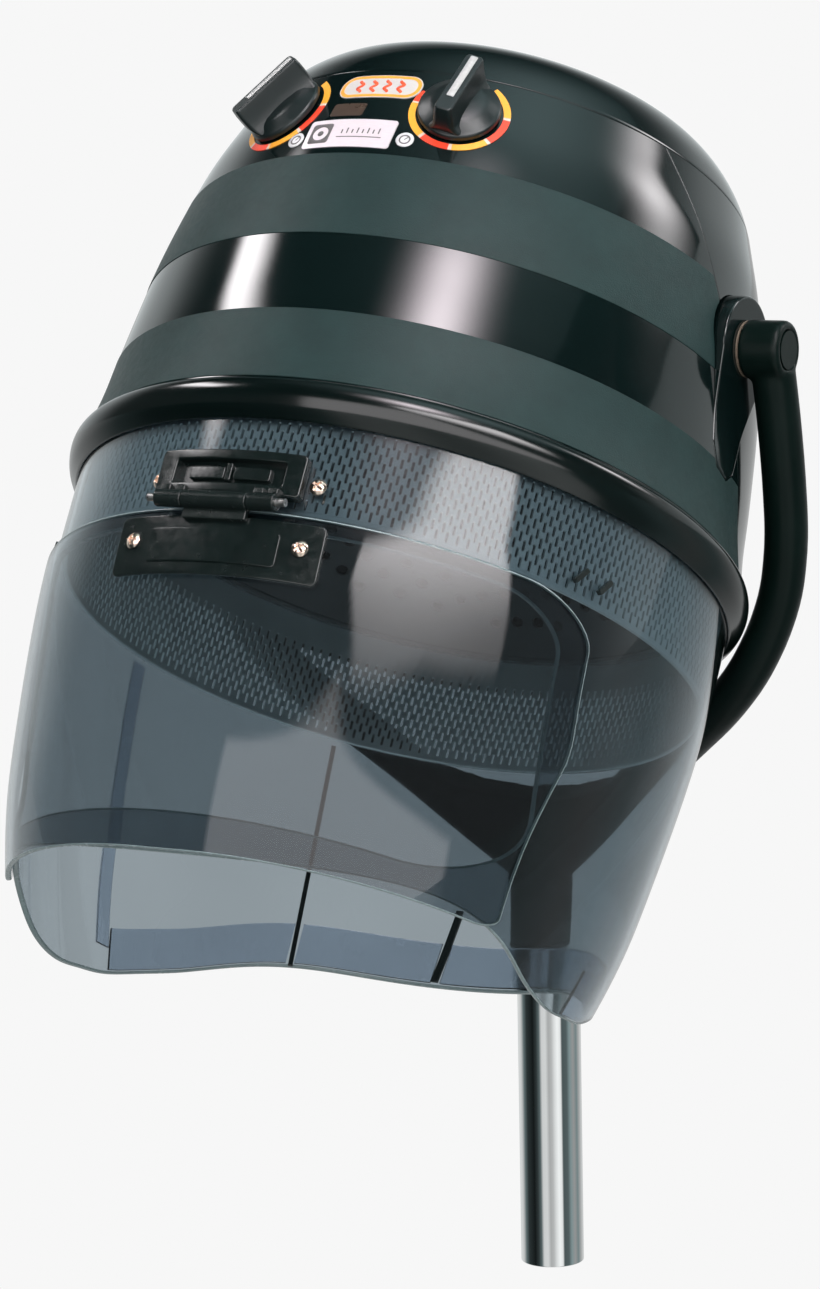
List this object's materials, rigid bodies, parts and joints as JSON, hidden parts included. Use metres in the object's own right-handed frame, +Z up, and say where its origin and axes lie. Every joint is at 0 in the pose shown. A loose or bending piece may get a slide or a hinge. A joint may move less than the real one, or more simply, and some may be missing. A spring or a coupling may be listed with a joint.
{
  "type": "hood hair dryer",
  "caption": "Salon hood hair dryer head: tilting black hood with smoked skirt, lift-up visor, two dials and perforated diffuser, in a fork that swivels on a chrome pole.",
  "frame": {"origin": "centre of the pole's lower end, on the pole's axis", "axes": "+Z up the pole, the hood's front (visor, dials) faces -Y, +X to the object's left as it faces -Y"},
  "size_m": [0.383, 0.4712, 0.6786],
  "materials": {
    "chrome": "polished chrome tube",
    "steel": "zinc plated",
    "steel_sheet": "galvanised sheet",
    "motor_steel": "lacquered",
    "nylon_black": "moulded",
    "fibre": "pressed friction fibre",
    "yoke_black": "satin black powder coat",
    "gloss_black": "high gloss",
    "band_matte": "fine spark-eroded grain",
    "rubber": "moulded",
    "smoke_clear": "smoked clear, polished",
    "diffuser_smoke": "smoked, perforated",
    "hinge_black": "satin",
    "screw_brass": "nickel-brass plated",
    "scale_print": "printed red and yellow scale",
    "knob_black": "satin moulded",
    "pointer_white": "printed",
    "case_white": "moulded",
    "label_silver": "brushed label",
    "badge_print": "printed badge",
    "fan_alu": "pressed",
    "baffle_black": "moulded",
    "mica": "mica sheet",
    "heater_wire": "coiled resistance wire",
    "lead_black": "sleeved lead"
  },
  "bodies": {
    "pole": {"pole_tube": "chrome", "pole_spigot": "steel", "thrust_washer": "nylon_black", "spigot_circlip": "steel"},
    "fork": {"yoke": "yoke_black", "neck_bush": "nylon_black", "swivel_screw": "steel", "hub_caps": "yoke_black", "pivot_bolts": "steel", "friction_washers": "fibre", "pivot_nuts": "steel", "disc_springs": "steel"},
    "visor_flap": {"visor": "smoke_clear", "hinge_leaf": "hinge_black", "hinge_pin": "steel", "hinge_screws_lower": "screw_brass", "hinge_nuts_lower": "screw_brass"},
    "timer_dial": {"timer_knob": "knob_black", "timer_shaft": "steel", "timer_pointer": "pointer_white"},
    "thermostat_dial": {"thermostat_knob": "knob_black", "thermostat_shaft": "steel", "thermostat_pointer": "pointer_white"},
    "fan_rotor": {"motor_shaft": "steel", "impeller": "fan_alu"},
    "hood_head": {"front_shell": "gloss_black", "rear_shell": "gloss_black", "top_cap": "gloss_black", "upper_band": "band_matte", "lower_band": "band_matte", "pivot_boss_right": "gloss_black", "pivot_boss_left": "gloss_black", "pivot_bushes": "nylon_black", "bead_ring": "gloss_black", "skirt_gasket": "rubber", "skirt": "smoke_clear", "hinge_block": "hinge_black", "hinge_screws_upper": "screw_brass", "hinge_nuts_upper": "screw_brass", "skirt_clips": "hinge_black", "skirt_ribs": "hinge_black", "skirt_hem": "smoke_clear", "diffuser": "diffuser_smoke", "inner_dome": "diffuser_smoke", "scale_ring_right": "scale_print", "scale_ring_left": "scale_print", "timer_unit": "case_white", "thermostat_unit": "case_white", "panel_nuts": "screw_brass", "label_plate": "label_silver", "badge": "badge_print", "motor_bracket": "steel_sheet", "motor": "motor_steel", "motor_screws": "steel", "air_baffle": "baffle_black", "heater_frame": "mica", "heater_coils": "heater_wire", "thermal_cutout": "case_white", "terminal_block": "case_white", "motor_lead": "lead_black"}
  },
  "joints": [
    {"name": "fork_swivel", "type": "hinge", "parent": "pole", "child": "fork", "pos_m": [0, 0, 0.2], "axis": [0, 0, 1], "range_deg": [-170, 170]},
    {"name": "hood_tilt", "type": "hinge", "parent": "fork", "child": "hood_head", "pos_m": [0, -0.091, 0.521], "axis": [-1, 0, 0], "range_deg": [0, 45]},
    {"name": "visor_lift", "type": "hinge", "parent": "hood_head", "child": "visor_flap", "pos_m": [0, -0.33763, 0.46417], "axis": [-1, 0, 0], "range_deg": [0, 95]},
    {"name": "timer_turn", "type": "hinge", "parent": "hood_head", "child": "timer_dial", "pos_m": [-0.04971, -0.17811, 0.6433], "axis": [-0.3217, -0.5994, 0.733], "range_deg": [-270, 0]},
    {"name": "thermostat_turn", "type": "hinge", "parent": "hood_head", "child": "thermostat_dial", "pos_m": [0.04971, -0.17811, 0.6433], "axis": [0.3217, -0.5994, 0.733], "range_deg": [-270, 0]},
    {"name": "fan_spin", "type": "hinge", "parent": "hood_head", "child": "fan_rotor", "pos_m": [0, -0.07016, 0.55514], "axis": [0, 0.521, 0.8536], "continuous": true}
  ]
}
